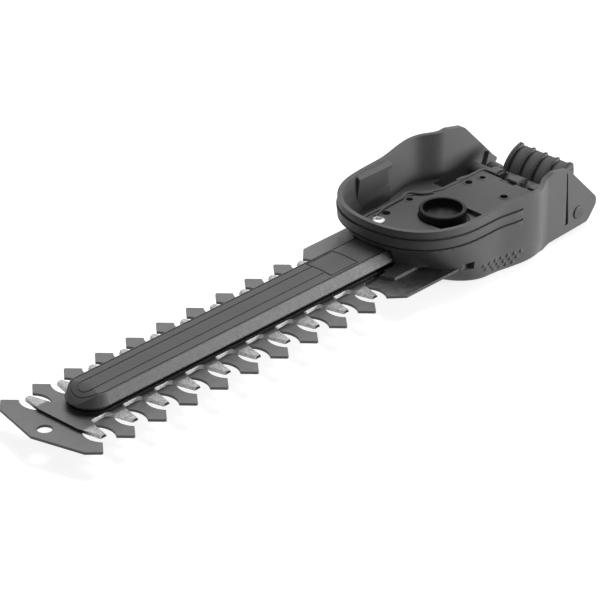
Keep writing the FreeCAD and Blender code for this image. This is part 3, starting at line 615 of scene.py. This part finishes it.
def add_screw(target, seat, up, size):
    """A domed screw head on a shank, with a six-lobed socket, its seat at one place."""
    head_radius, head_height, shank_radius, shank_length = [length * MM for length in size]
    count = 48
    socket = head_radius * 0.42
    lobe = head_radius * 0.07
    head_side = ((0.97, 0.0), (1.0, 0.15), (0.97, 0.55), (0.86, 0.85), (0.68, 0.98))
    socket_side = ((1.1, 1.0), (1.0, 0.92), (0.94, 0.25))
    rings = [circle(shank_radius, -shank_length, count), circle(shank_radius, 0.0, count)]
    rings += [circle(head_radius * reach, head_height * rise, count) for reach, rise in head_side]
    rings += [circle(socket * reach, head_height * rise, count, lobe) for reach, rise in socket_side]
    add_placed_rings(target, turned_to(up, seat), rings)


# Changes to the housing's copy


def shape_bands(shell):
    """Turns the two square grooves into laps with a proud ledge that faces up."""
    for groove in GROOVE_HEIGHTS:
        levels = [(groove - RIM_Z) * MM, (groove + GROOVE_WIDTH - RIM_Z) * MM]
        floor_corners = {}
        for face in shell.faces:
            heights = [min((abs(v.co.z - level), i) for i, level in enumerate(levels)) for v in face.verts]
            if max(gap for gap, i in heights) > 0.02 * MM or len({i for gap, i in heights}) < 2:
                continue
            if abs(face.normal.x) > 0.99 and abs(face.calc_center_median().x - GROOVE_END_X * MM) < 0.1 * MM:
                continue
            for vert, (gap, i) in zip(face.verts, heights):
                floor_corners.setdefault(vert, [i, Vector()])[1] += face.normal
        lips = {}
        for vert, (i, normal) in floor_corners.items():
            normal.z = 0.0
            outward = normal.normalized()
            for edge in vert.link_edges:
                other = edge.other_vert(vert)
                if i == 0 and other not in floor_corners and abs(other.co.z - levels[0]) < 0.02 * MM:
                    lips[other] = outward
            vert.co += outward * (LAP_TOP_OUT * MM if i == 1 else -LAP_FOOT_IN * MM)
        for vert, outward in lips.items():
            fade = blend_between(vert.co.x / MM, LAP_FADE_X, GROOVE_END_X)
            vert.co += outward * LAP_LIP_OUT * MM * (1 - fade)


def shape_ears(shell):
    """Turns each ear's groove into a ramp with a step, and slims the bosses on the pin."""
    for vert in shell.verts:
        x, y, z = measured(vert.co)
        side = 1 if y > 0 else -1
        in_groove = abs(abs(y) - EAR_GROOVE_FLOOR_Y) < 0.02 and abs(x - EAR_GROOVE_X) < 2.0
        if in_groove and -5.5 < z < 23.6:
            rise = (z - EAR_GROOVE_LOW_Z) / EAR_GROOVE_RISE
            half = EAR_GROOVE_FOOT_HALF - EAR_GROOVE_NARROWING * rise
            step = EAR_STEP_FOOT - EAR_STEP_FADING * rise
            share = min(max((x - EAR_GROOVE_X + half) / (2 * half), 0.0), 1.0)
            vert.co.y = side * (EAR_FACE_Y - share * step) * MM
        reach = math.hypot(x - PIVOT_X, z - PIVOT_Z)
        if 17.9 < abs(y) < 33.1 and abs(reach - BOSS_RADIUS) < 0.05:
            shrink = SLIM_BOSS_RADIUS / BOSS_RADIUS
            vert.co.x = (PIVOT_X + (x - PIVOT_X) * shrink) * MM
            vert.co.z = (PIVOT_Z + (z - PIVOT_Z) * shrink - RIM_Z) * MM


def open_catch(shell):
    """Lowers the deck's rear lip where the lever's hooks pass over it."""
    for vert in shell.verts:
        x, y, z = measured(vert.co)
        if 51.05 < x < 52.6 and abs(y) < 17.2 and 7.0 < z < 7.8:
            vert.co.z = (CATCH_LIP_Z - RIM_Z) * MM


def shape_rim(shell):
    """Lets the rim sag in front of the ears, so that they rise in a soft curve."""
    for vert in shell.verts:
        x, y, z = measured(vert.co)
        depth, start = RIM_SAGS[-1 if y < 0 else 1]
        sag = depth * blend_between(x, start, start + SAG_SLOPE)
        sag *= 1 - blend_between(x, start + SAG_LENGTH, SAG_END_X)
        vert.co.z -= sag * blend_between(z, SAG_LOW_Z, SAG_HIGH_Z) * MM


# Pieces


def shape_paddle(lever):
    """Sinks the paddle's plain ridges below the detailed ones."""
    for vert in lever.verts:
        x, y, z = measured(vert.co)
        across = x - ARC_X
        up = z - ARC_Z
        reach = math.hypot(across, up)
        if 15.2 < reach < 17.8 and up > -0.1 and across < 0.5:
            vert.co.x = (ARC_X + across * SUNK_REACH / reach) * MM
            vert.co.z = (ARC_Z + up * SUNK_REACH / reach - RIM_Z) * MM


def ridge_section(share):
    """Points of radius and Y over the five ridges, with grooves that deepen towards the foot."""
    deep = 16.3 - 1.5 * (1 - share)
    points = [(14.4, RIDGE_END), (17.3, RIDGE_END), (17.6, RIDGE_END - 0.3)]
    for i in range(RIDGE_COUNT):
        y = RIDGE_PITCH * (2 - i)
        if i > 0:
            points += [(16.75, y + 1.7), (17.35, y + 0.85)]
        points += [(17.6, y + 0.6), (17.6, y + 0.25), (17.3, y + 0.1), (17.3, y - 0.1),
                   (17.6, y - 0.25), (17.6, y - 0.6), (17.4, y - 0.8)]
        if i < RIDGE_COUNT - 1:
            points += [(deep, y - 1.0), (deep, y - 1.9), (16.5, y - 2.3), (16.35, y - 3.4),
                       (16.35, y - 4.6), (16.5, y - 5.4)]
    points += [(17.6, 0.3 - RIDGE_END), (17.3, -RIDGE_END), (14.4, -RIDGE_END)]
    return points


def make_lever(material):
    """The thumb lever with double-lipped ridges and flat hooks that end behind the tray."""
    reshaped("lever_core", "release_lever", [shape_paddle], material, "lever")
    grip = bmesh.new()
    rings = []
    steps = 26
    end_gap = 0.2
    for k in range(steps + 1):
        share = k / steps
        angle = math.radians(180 - end_gap - (ARC_SWEEP - 2 * end_gap) * share)
        ring = []
        for reach, y in ridge_section(share):
            behind = ARC_X + reach * math.cos(angle) - PIVOT_X
            above = ARC_Z + reach * math.sin(angle) - PIVOT_Z
            clear = max(PIN_CLEARANCE / math.hypot(behind, above), 1.0)
            ring.append(at(PIVOT_X + behind * clear, y, PIVOT_Z + above * clear))
        rings.append(ring)
    add_rings(grip, rings)
    for middle, half in HOOKS:
        add_slab(grip, HOOK_SIDE, middle - half, middle + half)
    piece_from("lever_ridges", grip, material, "lever")


def make_pin(material):
    """The lever's pin, whose ends stand a little proud of the ears."""
    ends = ((3.0, 35.2), (3.45, 35.3), (3.45, 36.5), (3.2, 36.8), (0.6, 36.9))
    profile = [(radius, -reach) for radius, reach in reversed(ends)] + list(ends)
    pin = bmesh.new()
    add_placed_rings(pin, turned_to((0, 1, 0), at(PIVOT_X, 0.0, PIVOT_Z)),
                     [circle(radius * MM, reach * MM, 40) for radius, reach in profile])
    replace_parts(piece_from("pin_ends", pin, material, "cartridge"), "lever_pin")


def make_ear_pads(material):
    """The thicker rear part inside each ear, with the round stop beside the lever."""
    stop = ((3.2, 0.0), (3.2, 5.6), (2.9, 6.0), (1.8, 6.0), (1.7, 3.0))
    pads = bmesh.new()
    for side in (-1, 1):
        add_slab(pads, PAD_SIDE, side * 31.0, side * 33.2)
        add_placed_rings(pads, turned_to((0, -side, 0), at(STOP_X, side * 31.2, STOP_Z)),
                         [circle(radius * MM, reach * MM, 28) for radius, reach in stop])
    piece_from("ear_pads", pads, material, "cartridge")


def cut_out(target, tool):
    """Takes the space of an editable mesh out of an object, and drops the tool."""
    bmesh.ops.recalc_face_normals(tool, faces=tool.faces)
    tool_mesh = bpy.data.meshes.new("cutter")
    tool.to_mesh(tool_mesh)
    tool.free()
    cutter = bpy.data.objects.new("cutter", tool_mesh)
    bpy.context.scene.collection.objects.link(cutter)
    cut = target.modifiers.new("cut", "BOOLEAN")
    cut.operation = "DIFFERENCE"
    cut.solver = "EXACT"
    cut.use_self = True
    cut.object = cutter
    bpy.context.view_layer.update()
    cut_target = target.evaluated_get(bpy.context.evaluated_depsgraph_get())
    result = bpy.data.meshes.new_from_object(cut_target)
    target.modifiers.clear()
    target.data = result
    result.set_sharp_from_angle(angle=math.radians(30))
    bpy.data.objects.remove(cutter)


def make_tray(material):
    """The floor tray with its rear edge notched in front of the lever's hooks."""
    tray = piece_from("tray_plate", copied("floor_tray"), material, "cartridge")
    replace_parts(tray, "floor_tray")
    notches = bmesh.new()
    for front, half, depth in TRAY_NOTCHES:
        bottom = TRAY_TOP_Z - depth
        add_slab(notches, ((front, bottom), (front, 9.0), (53.0, 9.0), (53.0, bottom)), -half, half)
    cut_out(tray, notches)


def smooth_path(points, steps):
    """Points along a soft curve through all the given ones."""
    padded = [points[0]] + list(points) + [points[-1]]
    path = []
    for a, b, c, d in zip(padded, padded[1:], padded[2:], padded[3:]):
        for i in range(steps):
            t = i / steps
            path.append(0.5 * (2 * b + (c - a) * t + (2 * a - 5 * b + 4 * c - d) * t * t
                               + (3 * b - a - 3 * c + d) * t * t * t))
    path.append(points[-1])
    return path


def add_bead(target, points, side, radius):
    """A round bead along points of the left side, or along their mirror on the right."""
    centres = smooth_path([at(x, side * y, z) for x, y, z in points], 6)
    upright = Vector((0, 0, 1))
    path = []
    for i, centre in enumerate(centres):
        along = centres[min(i + 1, len(centres) - 1)] - centres[max(i - 1, 0)]
        path.append((centre, along.cross(upright).normalized(), upright))
    add_tube(target, path, radius, 10)


def make_bead(material):
    """The uneven bead along the side edges of the floor tray."""
    beads = bmesh.new()
    for side in (-1, 1):
        add_bead(beads, LONG_BEAD, side, 0.75 * MM)
        add_bead(beads, SHORT_BEAD, side, 0.7 * MM)
    piece_from("tray_bead", beads, material, "cartridge")


def make_tray_rims(material):
    """Low rounded collars round the holes in the floor tray."""
    rims = bmesh.new()
    for x, y, radius in TRAY_HOLES:
        place = Matrix.Translation(at(x, y, TRAY_TOP_Z))
        rings = []
        for grow, lift in ((1.2, -0.1), (1.1, 0.15), (0.7, 0.3), (0.2, 0.28), (0.0, 0.1), (0.0, -0.1)):
            ring = circle((radius + grow) * MM, lift * MM, 32)
            rings.append([place @ point for point in ring])
        add_rings(rims, rings, False, False)
    piece_from("tray_rims", rims, material, "cartridge")


def make_spring(material):
    """The lever's coil of round wire, built at rest; the real coil flattens as the lever is pressed."""
    low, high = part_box("lever_spring")
    wire = 0.45 * MM
    turns = 4
    steps = 28 * turns
    upright = Vector((0.0, 0.0, 1.0))
    middle = Vector(((low[0] + high[0]) / 2, (low[1] + high[1]) / 2, low[2] + wire))
    reach = (high[0] - low[0]) / 2 - wire
    rise = high[2] - low[2] - 2 * wire
    path = []
    for i in range(steps + 1):
        angle = 2 * math.pi * turns * i / steps
        outward = Vector((math.cos(angle), math.sin(angle), 0.0))
        path.append((middle + outward * reach + upright * (rise * i / steps), outward, upright))
    coil = bmesh.new()
    add_tube(coil, path, wire, 10)
    spring = piece_from("spring_coil", coil, material, "cartridge")
    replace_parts(spring, "lever_spring")
    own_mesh(spring)


def make_screws(material):
    """Socket screws in place of the plain ones that can be seen."""
    up = Vector((0, 0, 1))
    tray = bmesh.new()
    cover = bmesh.new()
    for side in (-1, 1):
        x, y, z = TRAY_SCREW_SEAT
        add_screw(tray, at(x, side * y, z), up, TRAY_SCREW)
        x, y, z = COVER_SCREW_SEAT
        add_screw(cover, at(x, side * y, z), -up, COVER_SCREW)
    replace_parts(piece_from("tray_screw_heads", tray, material, "cartridge"), "tray_screws")
    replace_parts(piece_from("cover_screw_heads", cover, material, "cartridge"), "cover_screws")
    for i in range(1, 5):
        low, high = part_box(f"rib_screw_{i}")
        seat = (Vector(low) + Vector(high)) / 2
        seat.z = at(0, 0, RIB_SCREW_SEAT_Z).z
        rib = bmesh.new()
        add_screw(rib, seat, -up, RIB_SCREW)
        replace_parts(piece_from(f"rib_screw_head_{i}", rib, material, "cartridge"), f"rib_screw_{i}")


def make_grip(material):
    """Three staggered rows of bumps on each side of the lower cover."""
    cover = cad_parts["base_cover"].data
    skin = BVHTree.FromPolygons([v.co for v in cover.vertices], [p.vertices for p in cover.polygons])
    outside_y = 80
    dots = bmesh.new()
    for start, count, height in GRIP_ROWS:
        for i in range(count):
            for side in (-1, 1):
                origin = at(start + GRIP_PITCH * i, side * outside_y, height)
                place, normal, index, distance = skin.ray_cast(origin, Vector((0, -side, 0)))
                add_dome(dots, place, normal, 1.15 * MM, 0.55 * MM)
    piece_from("grip_dots", dots, material, "cartridge")


# Scene

bpy.context.scene.view_settings.view_transform = "Standard"
make_camera()
make_world()
make_lights()
make_floor()

housing_finish = moulded_plastic("housing_finish", 0.12)
cover_finish = moulded_plastic("cover_finish", 0.125)
tray_finish = moulded_plastic("tray_finish", 0.1, roughness=0.5, edge=0.2 * MM, grain=0.3)
rib_finish = moulded_plastic("rib_finish", 0.102, roughness=0.45, edge=0.3 * MM, grain=0.6)
lever_finish = moulded_plastic("lever_finish", 0.11, roughness=0.5, edge=0.15 * MM)
# The collar's edges are lightened more strongly, as painted highlight and rubbed wear on its black plastic.
collar_finish = moulded_plastic("collar_finish", 0.012, roughness=0.4, edge=0.2 * MM, grain=0.2, rub_and_highlight=0.5,
                                gloss=0.25)
screw_finish = turned_metal("screw_finish", 0.75, 0.3, rings=900.0)

reshaped("housing_shell", "housing", [shape_bands, shape_ears, open_catch, shape_rim],
         housing_finish, "cartridge")
dress(["base_cover"], cover_finish)
make_tray(tray_finish)
dress(["blade_rib"], rib_finish)
make_lever(lever_finish)
# The slide strip is black plastic; its black also stands in for the shade in the gap under the rib, as
# painted shade.
dress(["drive_collar", "slide_strip"], collar_finish)
dress(["fixed_blade"], stamped_steel("fixed_blade_finish", 0.155))
dress(["moving_blade"], ground_steel("moving_blade_finish", 0.145, 0.4, 14.8 * MM))
dress(["crank_disc"], turned_metal("disc_finish", 0.06, 0.45))
dress([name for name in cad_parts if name.startswith("guide_bush")],
      turned_metal("bush_finish", 0.45, 0.4))
make_pin(stamped_steel("pin_finish", 0.16, roughness=0.55))
make_ear_pads(housing_finish)
make_bead(tray_finish)
dress(["blade_screws"], screw_finish)
make_spring(screw_finish)
make_screws(screw_finish)
make_grip(cover_finish)
make_tray_rims(tray_finish)
